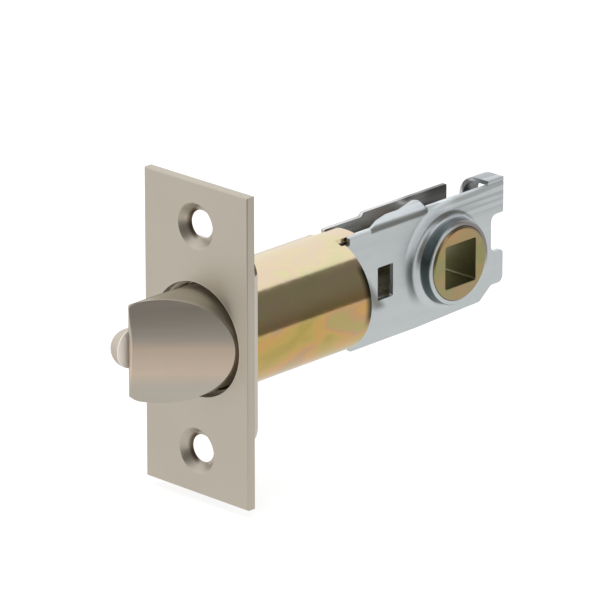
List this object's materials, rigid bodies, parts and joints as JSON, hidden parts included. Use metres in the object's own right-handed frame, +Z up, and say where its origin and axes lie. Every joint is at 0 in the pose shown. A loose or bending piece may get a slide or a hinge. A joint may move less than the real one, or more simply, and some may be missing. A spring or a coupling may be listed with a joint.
{
  "type": "tubular door latch",
  "caption": "Tubular spring latch with rectangular faceplate, sloped bolt, deadlocking plunger, round housing and square-hole retractor hub.",
  "frame": {"origin": "where the axis of the bolt meets the front face of the faceplate", "axes": "+X across the faceplate on the side of the sloped face, +Y from the face into the door, +Z up along the faceplate"},
  "size_m": [0.0248, 0.0897, 0.0572],
  "materials": {
    "satin_nickel": "satin nickel plate",
    "yellow_zinc": "yellow iridescent zinc plate",
    "bright_zinc": "bright zinc plate",
    "plunger_nickel": "fine satin nickel plate",
    "hub_zinc": "yellow zinc plate",
    "plain_steel": "bright drawn steel",
    "spring_steel": "oiled spring steel"
  },
  "bodies": {
    "case": {"faceplate": "satin_nickel", "tube_housing": "yellow_zinc", "case_plate_right": "bright_zinc", "case_plate_left": "bright_zinc", "case_spacers": "bright_zinc", "spring_seat": "bright_zinc", "bolt_spring": "spring_steel", "plunger_spring": "spring_steel", "guide_rod": "plain_steel", "pawl_pin": "plain_steel", "pawl_spring": "spring_steel"},
    "bolt": {"latch_bolt": "satin_nickel", "bolt_tail": "bright_zinc", "tail_pin": "plain_steel"},
    "plunger": {"deadlock_plunger": "plunger_nickel"},
    "pawl": {"deadlock_pawl": "plain_steel"},
    "hub": {"retractor_hub": "hub_zinc"}
  },
  "joints": [
    {"name": "bolt_slide", "type": "slide", "parent": "case", "child": "bolt", "axis": [0, 1, 0], "range_m": [0, 0.012], "stiffness_N_per_m": 400, "springref_m": -0.01, "deforming": ["bolt_spring"]},
    {"name": "hub_turn", "type": "hinge", "parent": "case", "child": "hub", "pos_m": [0, 0.0603, 0], "axis": [1, 0, 0], "range_deg": [0, 78.34]},
    {"name": "plunger_slide", "type": "slide", "parent": "case", "child": "plunger", "axis": [0, 1, 0], "range_m": [0, 0.011], "stiffness_N_per_m": 150, "springref_m": -0.008, "deforming": ["plunger_spring"]},
    {"name": "pawl_turn", "type": "hinge", "parent": "case", "child": "pawl", "pos_m": [-0.006, 0.0284, 0.00435], "axis": [0, 0, 1], "range_deg": [0, 6.55], "deforming": ["pawl_spring"]}
  ],
  "couplings": [
    {"joint": "hub_turn", "follows": "bolt_slide", "rad_per_m": 113.93},
    {"joint": "pawl_turn", "follows": "plunger_slide", "rad_per_m": 10.37}
  ]
}
